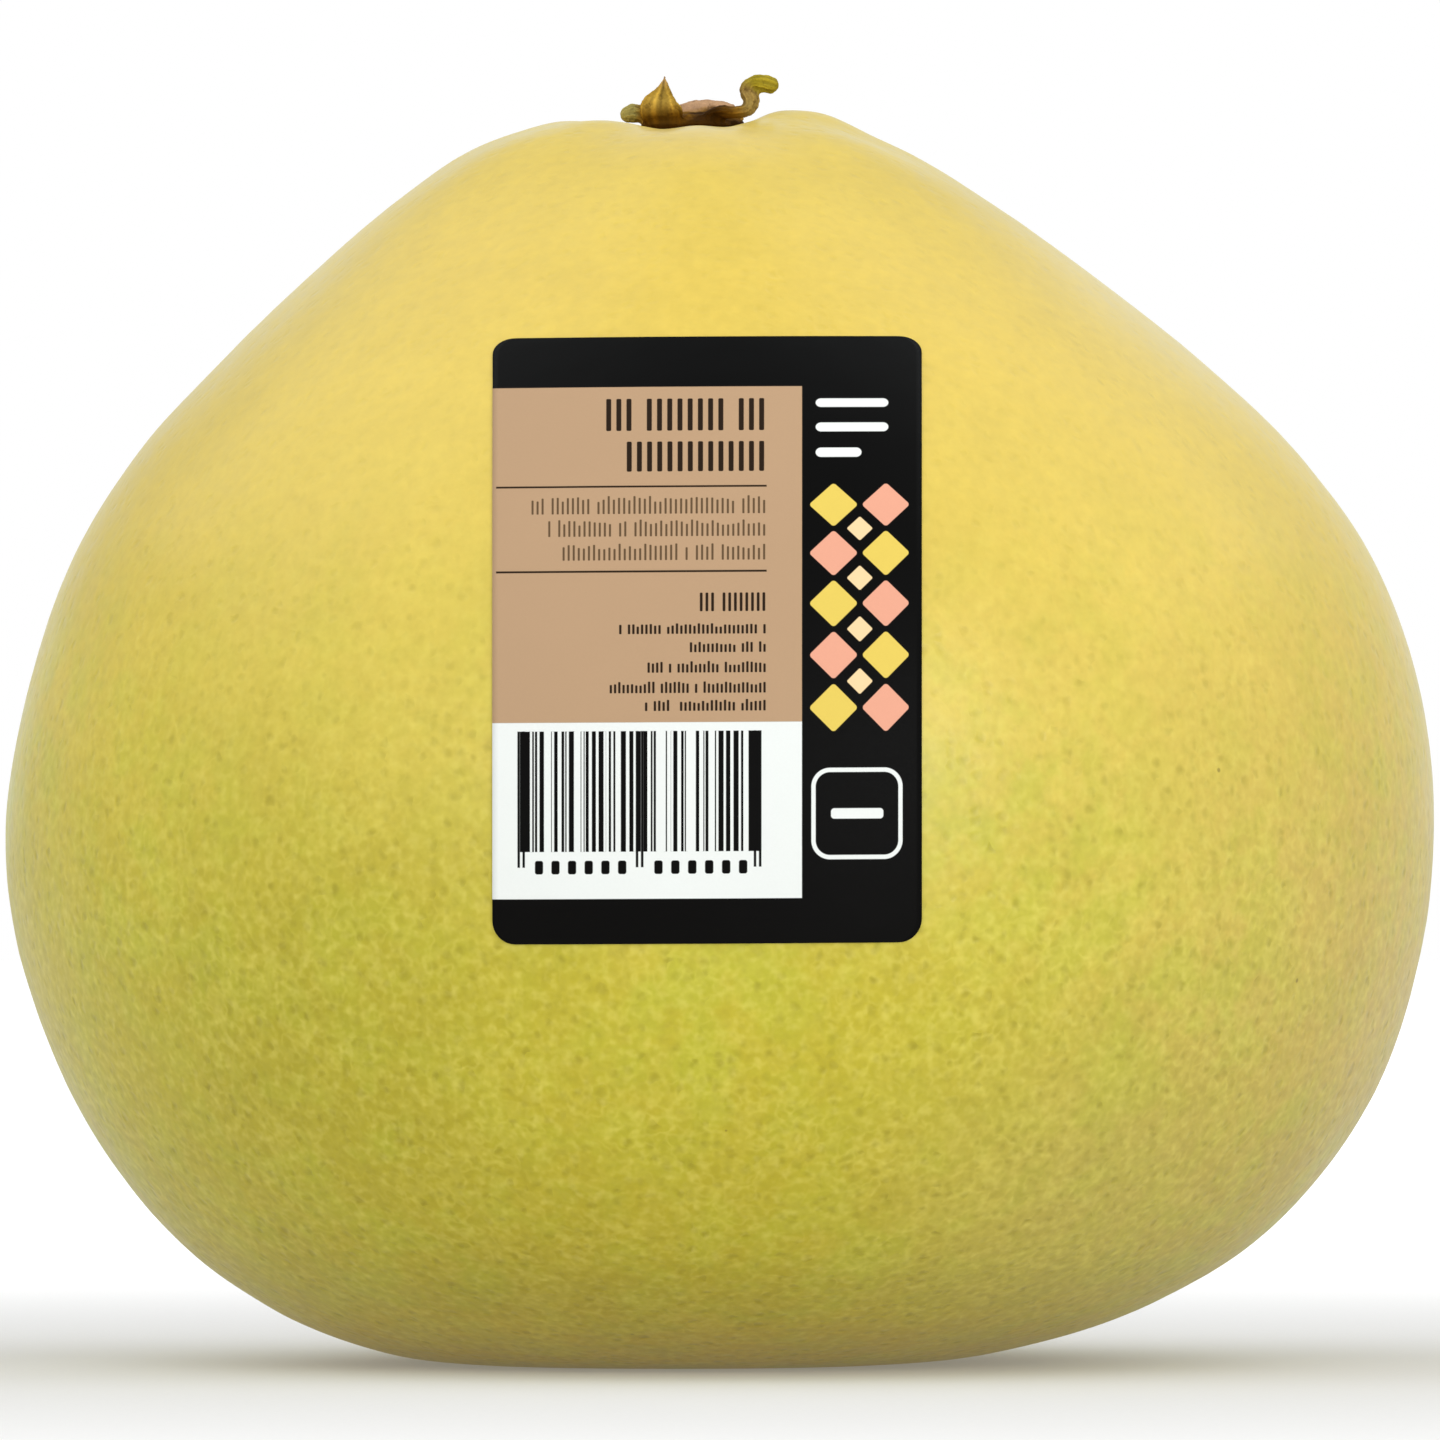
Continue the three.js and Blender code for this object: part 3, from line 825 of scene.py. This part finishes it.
def label_material():
    material, graph, surface, place = new_material("sticker_print")
    spread = {
        "Vector": graph.add("ShaderNodeUVMap", uv_map="print").outputs[0],
        "Scale": (LABEL["width"], LABEL["length"], 1),
        "Location": (-LABEL["width"] / 2, PRINT_FOOT, 0),
    }
    flat = graph.add("ShaderNodeMapping", spread).outputs[0]
    block = block_group()
    row = row_group(block)
    color = BLACK
    for ink, left, right, bottom, top, corner, *strokes in PRINT_MARKS:
        width = right - left
        middle_y = (bottom + top) / 2
        values = {
            "Print": flat,
            "Middle": ((left + right) / 2, middle_y, 0),
            "Half Width": width / 2,
            "Half Height": (top - bottom) / 2,
            "Corner": corner,
        }
        mask = graph.group(block, values).outputs[0]
        if strokes:
            kind, seed = strokes
            values = {
                **kind,
                "Print": graph.vector("SUBTRACT", flat, (left, middle_y, 0)),
                "Pitch": width / round(width / kind["Pitch"]),  # no stroke is cut at the right end
                "Half Height": values["Half Height"],
                "Corner": corner,
                "Seed": seed,
            }
            mask = graph.times(mask, graph.group(row, values).outputs[0])
        color = graph.mix(mask, color, ink)
    turn = {"Vector": flat, "Angle": math.pi / 4}
    turned = graph.add("ShaderNodeVectorRotate", turn, rotation_type="Z_AXIS").outputs[0]
    for ink, x, y, half, corner in print_lozenges():
        middle = ((x - y) * math.sqrt(0.5), (x + y) * math.sqrt(0.5), 0)
        values = {"Print": turned, "Middle": middle, "Corner": corner}
        values |= {"Half Width": half, "Half Height": half}
        color = graph.mix(graph.group(block, values).outputs[0], color, ink)
    worn, grain = mottled(graph, color, place, blots=(18, 0.06), grain=(0.25, 0.05), seed=2.0)
    finish(graph, surface, worn, grain, grain, **PRINT_FINISH)
    return material


def paper_edge_material():
    material, graph, surface, place = new_material("sticker_edge")
    values = {"Base": PAPER, "Place": place, "Grain Size": mm(0.2), "Grain Strength": 0.2}
    paper = graph.group(MOTTLE, values).outputs
    rough = roughness(graph, paper["Grain"], *PAPER_ROUGHNESS)
    graph.end(surface, {"Base Color": paper["Color"], "Roughness": rough})
    return material


def drape_tree():
    """Lays a flat sheet that stands in front of the fruit onto the skin behind it."""
    inputs = [("Sheet", GEOMETRY), ("Rind", OBJECT), ("Gap", FLOAT), ("Material", MATERIAL)]
    graph, given, last = new_group("sticker_drape", "GeometryNodeTree", inputs, [("Sticker", GEOMETRY)])
    rind = graph.add("GeometryNodeObjectInfo", {"Object": given["Rind"]}, transform_space="ORIGINAL")
    cast = {
        "Target Geometry": rind.outputs["Geometry"],
        "Ray Direction": (0.0, 1.0, 0.0),
        "Ray Length": 1.0,
    }
    hit = graph.add("GeometryNodeRaycast", cast, data_type="FLOAT_VECTOR").outputs
    spot = graph.vector("ADD", hit["Hit Position"], graph.scaled(hit["Hit Normal"], given["Gap"]))
    laid = graph.add("GeometryNodeSetPosition", {"Geometry": given["Sheet"], "Position": spot}).outputs[0]
    graph.end(last, {"Sticker": coated(graph, laid, given["Material"])})
    return graph.tree


LABEL_COLUMNS = 64
LABEL_ROWS = 96
LABEL_CORNER_ROWS = 8
PATH_STEP = 0.1  # step of the walk up the skin that finds each row's height


def label_rows(skin):
    """Each row's place along the paper, its height and its depth. Rows crowd into the corners."""
    corner, length = LABEL["corner"], LABEL["length"]
    turn = np.linspace(0, math.pi / 2, LABEL_CORNER_ROWS + 1)
    low = corner * (1 - np.cos(turn))
    straight = np.linspace(corner, length - corner, LABEL_ROWS + 1)[1:-1]
    paper = np.concatenate([low, straight, length - low[::-1]])

    def front(height):
        return in_mm(skin.ray_cast((mm(LABEL["middle_x"]), -1, mm(height)), (0, 1, 0))[0].y)

    path = [(0.0, LABEL["bottom"], front(LABEL["bottom"]))]
    while path[-1][0] < length:
        along, height, depth = path[-1]
        slope = front(height + 1) - depth
        height += PATH_STEP / math.hypot(1, slope)
        path.append((along + PATH_STEP, height, front(height)))
    path = np.array(path)
    return paper, np.interp(paper, path[:, 0], path[:, 1]), np.interp(paper, path[:, 0], path[:, 2])


def sheet_points(skin):
    """The flat sheet's points, row by row, and each one's place on the print."""
    paper, heights, depths = label_rows(skin)
    slope = math.tan(math.radians(LABEL["tilt"]))
    corner, length, width = LABEL["corner"], LABEL["length"], LABEL["width"]
    points, uvs = [], []
    for along, height, depth in zip(paper, heights, depths):
        from_end = min(along, length - along)
        inset = 0.0
        if from_end < corner:
            inset = corner - math.sqrt(max(0.0, corner**2 - (corner - from_end) ** 2))
        spread = 1 + (depth - depths.min()) / CAMERA_DISTANCE  # its sides look parallel from the front
        for share in np.linspace(-1, 1, LABEL_COLUMNS + 1):
            across = share * (width / 2 - inset)
            x = LABEL_BEND * math.sin(across / LABEL_BEND) * spread
            points.append((mm(LABEL["middle_x"] + x), mm(-SHEET_DISTANCE), mm(height + x * slope)))
            uvs.append((across / width + 0.5, along / length))
    return points, uvs


def build_label(rind):
    mesh = rind.data
    skin = BVHTree.FromPolygons([v.co for v in mesh.vertices], [p.vertices for p in mesh.polygons])
    points, uvs = sheet_points(skin)
    wide = LABEL_COLUMNS + 1
    faces = [
        (r * wide + c, r * wide + c + 1, (r + 1) * wide + c + 1, (r + 1) * wide + c)
        for r in range(len(points) // wide - 1)
        for c in range(LABEL_COLUMNS)
    ]
    label = mesh_piece("sticker", points, faces)
    layer = label.data.uv_layers.new(name="print")
    corners = np.array([uvs[loop.vertex_index] for loop in label.data.loops], np.float32)
    layer.uv.foreach_set("vector", corners.ravel())
    run_tree(label, drape_tree(), {"Rind": rind, "Gap": mm(LABEL["gap"]), "Material": label_material()})
    label.data.materials.append(paper_edge_material())
    wall = label.modifiers.new("thickness", "SOLIDIFY")
    wall.thickness = mm(LABEL["thickness"])
    wall.offset = 1
    wall.material_offset_rim = 1
    bake_modifiers(label)
    return label


# ---------------------------------------------------------------- calyx

# Shrivelled sepals, in millimetres about the foot of the calyx. spine runs from root to tip; wide and deep
# are half sizes along it; across is the way that the width lies; cup bends the edges up; tints run from
# root to tip; rib is how dark the middle line is.
OCHRE = (180, 146, 62)
BROWN = (118, 82, 20)
UMBER = (98, 66, 10)
# DARK is partly the dried calyx's dark brown and partly painted shade, at the foot of the button and the
# scar and at the roots of the sepals, where they meet the skin
DARK = (58, 34, 2)
OLIVE = (154, 137, 38)
STRAW = (148, 123, 64)
GREY_GREEN = (160, 146, 80)
PINKISH = (182, 145, 110)
SEPALS = [
    {  # upright and triangular
        "spine": [
            (-2.6, -3.4, 0.6),
            (-3.3, -4.9, 1.6),
            (-3.5, -5.4, 3),
            (-3.2, -5.2, 4.7),
            (-3, -4.8, 6.5),
        ],
        "wide": [2.1, 2.8, 2.6, 1.25, 0.1],
        "deep": [0.8, 0.55, 0.36, 0.28, 0.1],
        "across": (1, -0.15, 0),
        "cup": -0.14,
        "tints": [DARK, UMBER, OCHRE, OCHRE, PINKISH],
        "rib": 0.3,
    },
    {  # rolled up on the left
        "spine": [(-4, -0.6, 1), (-5.6, -0.9, 1.8), (-6.8, -1, 1.95), (-7.4, -1.1, 1.85)],
        "wide": [1.8, 1.7, 1.6, 1.4],
        "deep": [0.9, 1.3, 1.4, 1.25],
        "across": (-0.1, 1, 0),
        "cup": 0.1,
        "tints": [DARK, BROWN, GREY_GREEN, GREY_GREEN],
        "rib": 0.0,
    },
    {  # curled strap on the right
        "spine": [
            (1.4, -3.2, 1.1),
            (3.4, -4.6, 2),
            (5.2, -4.9, 1.95),
            (6.8, -4.7, 2.25),
            (7.35, -4.4, 3.4),
            (6.85, -4.2, 4.6),
            (7.5, -4.1, 5.45),
            (8.7, -4, 5.5),
            (9.65, -4, 5.25),
        ],
        "wide": [2, 1.9, 1.7, 1.6, 1.5, 1.5, 1.5, 1.5, 1.4],
        "deep": [0.9, 1, 1, 1.1, 1.25, 1.2, 1.15, 1.3, 1.3],
        "across": (0.1, 1, 0),
        "cup": 0.1,
        "tints": [DARK, DARK, BROWN, STRAW, STRAW, STRAW, OLIVE, OLIVE, OLIVE],
        "rib": 0.0,
    },
    {  # low, behind on the right
        "spine": [(3, 3.4, 1.1), (4.4, 5.2, 1.7), (5.6, 6.7, 1.7), (6.4, 7.8, 1.2)],
        "wide": [2.3, 2.2, 1.4, 0.15],
        "deep": [0.7, 0.5, 0.4, 0.3],
        "across": (1, -1, 0),
        "cup": 0.15,
        "tints": [BROWN, BROWN, OCHRE, OCHRE],
        "rib": 0.2,
    },
    {  # half raised, behind on the left
        "spine": [(-2, 3.8, 1.1), (-2.9, 5.8, 1.8), (-3.5, 7, 2.6), (-3.6, 7.3, 3.7)],
        "wide": [2.2, 2.1, 1.4, 0.15],
        "deep": [0.7, 0.5, 0.4, 0.3],
        "across": (1, 0.45, 0),
        "cup": 0.15,
        "tints": [BROWN, OCHRE, OCHRE, PINKISH],
        "rib": 0.2,
    },
]
FIBRES = {"tint": 0.2, "depth": 0.06}
RIB_WIDTH = 0.16
BLUNT_END = 0.5  # half width past which a sepal ends in a rounded lip
BUTTON_PROFILE = [(6, -0.35), (6.5, 0.5), (6.2, 1.2), (5.1, 2), (3.1, 2.4), (0.5, 2.3)]  # radius, height
# the button's lower rings are dark with painted shade where it overhangs the skin
BUTTON_TINTS = [DARK, DARK, DARK, BROWN, BROWN, BROWN]
BUTTON_LOBES = {"count": 5, "depth": 0.07}
SCAR = {"x": 2, "y": 0.4, "size": (4.2, 3.2, 3.9)}  # the broken stem: half length, half width, height
SCAR_DOME = [(1, 0.08), (1, 0.45), (0.94, 0.68), (0.8, 0.84), (0.55, 0.95), (0.25, 0.995), (0.05, 1)]
# the scar's foot is dark with painted shade
SCAR_TINTS = [DARK, BROWN] + [PINKISH] * 5
CALYX_VOXEL = 0.115
SOFTENING_STEPS = 5
BLENDED_TINTS = 6  # how many of the nearest points give a vertex its tint
TINT_SOFTNESS = 0.05
FOLDS = {"size": 1.1, "depth": 0.45}
WRINKLES = {"size": 0.35, "depth": 0.16}
CALYX_SEED = 2.0
STAIN = {
    "size": mm(1.1),
    "low": 0.54,
    "high": 0.7,
    "smooth": True,
    "detail": 3.0,
    "roughness": 0.6,
    "seed": 6.0,
}
STAIN_STRENGTH = 0.6
STAIN_COLOR = srgb(70, 44, 12)
CALYX_SPECK_COLOR = srgb(36, 22, 8)
CALYX_FINISH = {"rough": (0.62, 0.85), "bump": 0.5, "depth": 0.08, "specular": 0.05}


class Shell:
    """Closed shapes gathered with a tint at each vertex, all about the calyx's foot."""

    def __init__(self):
        self.points, self.faces, self.tints = [], [], []

    def rings(self, rings, tints):
        """Adds a closed shape that runs through rings of points, with its ends capped."""
        first = len(self.points)
        count = len(rings[0])
        for ring, tint in zip(rings, tints):
            self.points += [tuple(p) for p in ring]
            self.tints += list(np.broadcast_to(tint, (count, 3)))
        for r in range(len(rings) - 1):
            for i in range(count):
                a, b = first + r * count + i, first + r * count + (i + 1) % count
                self.faces.append((a, b, b + count, a + count))
        self.faces.append(tuple(first + i for i in reversed(range(count))))
        self.faces.append(tuple(first + (len(rings) - 1) * count + i for i in range(count)))


def fibres(around, along, seed):
    """Lengthwise fibres, from -1 to 1, at these angles round a section this share along it."""
    coarse = np.sin(7 * around + 1.5 * math.sin(4 * along + seed) + seed)
    return 0.5 * coarse + 0.5 * np.sin(15 * around + 2.1 * seed - 3 * along)


def add_sepal(shell, sepal, seed, steps=70, sides=48, lip_steps=6):
    spine = curve_through(sepal["spine"], steps)
    tangents = np.gradient(spine, axis=0)
    tangents /= np.linalg.norm(tangents, axis=1)[:, None]
    sizes = curve_through(np.column_stack([sepal["wide"], sepal["deep"]]), steps)
    tints = curve_through(np.array(sepal["tints"], float), steps)
    shares = np.linspace(0, 1, steps)
    if sizes[-1][0] > BLUNT_END:
        turn = np.linspace(0, math.pi / 2, lip_steps + 2)[1:-1, None]
        spine = np.vstack([spine, spine[-1] + tangents[-1] * sizes[-1][1] * np.sin(turn)])
        sizes = np.vstack([sizes, sizes[-1] * np.cos(turn)])
        tangents = np.vstack([tangents] + [tangents[-1:]] * lip_steps)
        tints = np.vstack([tints] + [tints[-1:]] * lip_steps)
        shares = np.append(shares, [1.0] * lip_steps)
    across = np.array(sepal["across"], float)
    around = np.linspace(0, 2 * math.pi, sides, endpoint=False)
    rings, ring_tints = [], []
    for middle, tangent, (wide, deep), tint, share in zip(spine, tangents, sizes, tints, shares):
        side = across - across.dot(tangent) * tangent
        side /= np.linalg.norm(side)
        depth = np.cross(tangent, side)
        fibre = fibres(around, share, seed)
        swell = 1 + FIBRES["depth"] * fibre
        lift = deep * swell * np.sin(around) + sepal["cup"] * wide * np.cos(around) ** 2
        rings.append(middle + np.outer(wide * swell * np.cos(around), side) + np.outer(lift, depth))
        rib = sepal["rib"] * np.exp(-((np.cos(around) / RIB_WIDTH) ** 2))
        ring_tints.append(np.outer(1 + FIBRES["tint"] * fibre - rib, tint))
    shell.rings(rings, ring_tints)


def add_turned(shell, profile, middle, scale, tints, lobe_depth=0.0, sides=64):
    """Adds a body turned about the Z axis. profile lists (radius, height) from its foot to its top."""
    around = np.linspace(0, 2 * math.pi, sides, endpoint=False)
    swell = 1 + lobe_depth * np.cos(BUTTON_LOBES["count"] * around)
    rings = []
    for radius, height in profile:
        x = middle[0] + scale[0] * radius * swell * np.cos(around)
        y = middle[1] + scale[1] * radius * swell * np.sin(around)
        rings.append(np.column_stack([x, y, np.full(sides, scale[2] * height)]))
    shell.rings(rings, tints)


def calyx_material():
    material, graph, surface, place = new_material("dried_calyx")
    tint = graph.add("ShaderNodeAttribute", attribute_name="tint").outputs["Color"]
    color, grain = mottled(graph, tint, place, blots=(1.6, 0.9), grain=(0.25, 0.7), seed=1.0)
    stain = graph.patches(place, **STAIN)
    color = graph.mix(graph.times(stain, STAIN_STRENGTH), color, STAIN_COLOR)
    color = speckled(graph, color, place, specks=(1.3, 0.1, 0.35), strength=0.5, tint=CALYX_SPECK_COLOR)
    finish(graph, surface, color, grain, grain, **CALYX_FINISH)
    return material


def shrivel_tree():
    """Dries a skin: folds and fine wrinkles along its normals."""
    inputs = [
        ("Skin", GEOMETRY),
        ("Fold Size", FLOAT, 0.001),
        ("Fold Depth", FLOAT),
        ("Wrinkle Size", FLOAT, 0.001),
        ("Wrinkle Depth", FLOAT),
        ("Seed", FLOAT),
        ("Material", MATERIAL),
    ]
    graph, given, last = new_group("calyx_shrivel", "GeometryNodeTree", inputs, [("Calyx", GEOMETRY)])
    place = graph.add("GeometryNodeInputPosition").outputs[0]
    normal = graph.add("GeometryNodeInputNormal").outputs[0]
    depth = 0.0
    for kind in ("Fold", "Wrinkle"):
        noise = graph.noise(place, given[kind + " Size"], seed=given["Seed"])
        depth = graph.plus(graph.times(noise, given[kind + " Depth"]), depth)
    shift = {"Geometry": given["Skin"], "Offset": graph.scaled(normal, graph.times(depth, -1.0))}
    dried = graph.add("GeometryNodeSetPosition", shift).outputs[0]
    graph.end(last, {"Calyx": coated(graph, dried, given["Material"])})
    return graph.tree


def tint_vertices(piece, points, tints):
    """Gives each vertex of a piece a blend of the tints at the points nearest to it."""
    tree = KDTree(len(points))
    for i, point in enumerate(points):
        tree.insert(point, i)
    tree.balance()
    colors = piece.data.color_attributes.new("tint", "FLOAT_COLOR", "POINT")
    for vertex, color in zip(piece.data.vertices, colors.data):
        nearest = tree.find_n(vertex.co, BLENDED_TINTS)
        weights = [1 / (distance + mm(TINT_SOFTNESS)) for _, _, distance in nearest]
        tint = sum(np.array(tints[i]) * w for (_, i, _), w in zip(nearest, weights)) / sum(weights)
        color.color = srgb(*tint)


def build_calyx():
    shell = Shell()
    add_turned(shell, BUTTON_PROFILE, (0, 0), (1, 1, 1), BUTTON_TINTS, BUTTON_LOBES["depth"])
    add_turned(shell, SCAR_DOME, (SCAR["x"], SCAR["y"]), SCAR["size"], SCAR_TINTS)
    for seed, sepal in enumerate(SEPALS):
        add_sepal(shell, sepal, seed)
    foot = Vector((STEM_X, 0, CALYX_FOOT))
    points = [mm(Vector(p) + foot) for p in shell.points]
    calyx = mesh_piece("dried_calyx", points, shell.faces)
    remesh = calyx.modifiers.new("one_body", "REMESH")
    remesh.mode = "VOXEL"
    remesh.voxel_size = mm(CALYX_VOXEL)
    soften = calyx.modifiers.new("soften", "SMOOTH")
    soften.iterations = SOFTENING_STEPS
    bake_modifiers(calyx)
    tint_vertices(calyx, points, shell.tints)
    values = {
        "Fold Size": mm(FOLDS["size"]),
        "Fold Depth": mm(FOLDS["depth"]),
        "Wrinkle Size": mm(WRINKLES["size"]),
        "Wrinkle Depth": mm(WRINKLES["depth"]),
        "Seed": CALYX_SEED,
        "Material": calyx_material(),
    }
    run_tree(calyx, shrivel_tree(), values)
    return calyx


# ---------------------------------------------------------------- stage, light and camera

ROOM_LIGHT = 1.0  # how bright the room is as a light, and what is behind the fruit
ROOM_BEHIND = 0.45
ROOM_EDGE = (-0.2, 0.4)  # sine of the angle past the fruit's side where the front ends and the back begins
ROOM_SEEN = 1.0  # how bright the camera sees it
ROOM_REFLECTED = 0.6  # how bright reflections see it, and the backdrop in it
BACKDROP_REFLECTED = 1.07
BACKDROP_EDGE = (0.78, 0.98)  # cosine of the angle from its middle where it begins and is full
REFLECTION_TINT = (0.88, 1.0, 1.08, 1)
SOFTBOXES = [  # name, place, size, power
    ("upper_left_softbox", (-0.9, 0.26, 1.3), 1.6, 6.6),
    ("upper_right_softbox", (1.0, 0.31, 1.3), 1.6, 5.8),
    ("low_left_softbox", (-1.3, -2.3, 0.5), 1.2, 4.2),
    ("low_right_softbox", (1.2, -2.3, 0.5), 1.2, 18.8),
]
FLOOR_HALF = 4.0  # half the floor's side, in metres
FLOOR_COLOR = srgb(206, 206, 205)
FLOOR_GLOW = 0.17
# The extra glow that is seen far out: the metres where it begins and is full, then its least and most.
FAR_GLOW = (0.1, 0.6, 0.0, 0.45)


def build_stage():
    half = FLOOR_HALF
    corners = [(-half, -half, 0), (half, -half, 0), (half, half, 0), (-half, half, 0)]
    floor = mesh_piece("floor", corners, [(0, 1, 2, 3)])
    material, graph, surface, place = new_material("light_table")
    paper = graph.group(MOTTLE, {"Base": FLOOR_COLOR, "Place": place, "Blot Strength": 0.01})
    surface.inputs["Emission Strength"].default_value = 1.0
    surface.inputs["Roughness"].default_value = 0.9
    surface.inputs["Specular IOR Level"].default_value = 0.1
    seen = graph.add("ShaderNodeLightPath").outputs["Is Camera Ray"]
    far_glow = graph.remap(graph.length(place), *FAR_GLOW, smooth=True)
    glow = graph.plus(graph.times(far_glow, seen), FLOOR_GLOW)
    links = {"Base Color": paper.outputs["Color"], "Emission Color": graph.combine(glow, glow, glow)}
    graph.end(surface, links)
    floor.data.materials.append(material)


def add_softbox(name, place, size, power):
    """A square light that faces the fruit's middle."""
    light = bpy.data.lights.new(name, "AREA")
    light.shape = "SQUARE"
    light.size = size
    light.energy = power
    box = bpy.data.objects.new(name, light)
    box.location = place
    toward = Vector((0, 0, mm(CAMERA_HEIGHT))) - Vector(place)
    box.rotation_euler = toward.to_track_quat("-Z", "Y").to_euler()
    box.visible_camera = False
    bpy.context.scene.collection.objects.link(box)


def build_light():
    world = bpy.data.worlds.new("white_room")
    world.use_nodes = True
    graph = Graph(world.node_tree)
    ray = graph.add("ShaderNodeLightPath").outputs
    toward = graph.separate(graph.add("ShaderNodeTexCoord").outputs["Generated"])[1]
    strength = graph.remap(toward, *ROOM_EDGE, ROOM_LIGHT, ROOM_BEHIND, smooth=True)
    mirrored = graph.remap(toward, *BACKDROP_EDGE, ROOM_REFLECTED, BACKDROP_REFLECTED, smooth=True)
    for share, other in ((ray["Is Glossy Ray"], mirrored), (ray["Is Camera Ray"], ROOM_SEEN)):
        kept = graph.times(strength, graph.minus(1.0, share))
        strength = graph.plus(kept, graph.times(other, share))
    color = graph.mix(ray["Is Glossy Ray"], (1, 1, 1, 1), REFLECTION_TINT)
    graph.end(world.node_tree.nodes["Background"], {"Color": color, "Strength": strength})
    bpy.context.scene.world = world
    for softbox in SOFTBOXES:
        add_softbox(*softbox)


def build_camera():
    lens = bpy.data.cameras.new("camera")
    lens.sensor_width = SENSOR
    lens.lens = SENSOR * CAMERA_DISTANCE / VIEW_WIDTH
    lens.clip_end = 20
    camera = bpy.data.objects.new("camera", lens)
    camera.location = (0, mm(-CAMERA_DISTANCE), mm(CAMERA_HEIGHT))
    camera.rotation_euler = (math.pi / 2, 0, 0)
    bpy.context.scene.collection.objects.link(camera)
    bpy.context.scene.camera = camera


# ---------------------------------------------------------------- the whole object

build_camera()
build_light()
build_stage()
bpy.context.scene.view_settings.view_transform = "Standard"
bpy.context.scene.view_settings.look = "None"

rind = build_rind()
label = build_label(rind)
calyx = build_calyx()
pieces = [(rind, "fruit", "rind"), (label, "label", "sticker"), (calyx, "calyx", "dried_calyx")]
for piece, node, slot in pieces:
    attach(piece, "root")
    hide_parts(node)
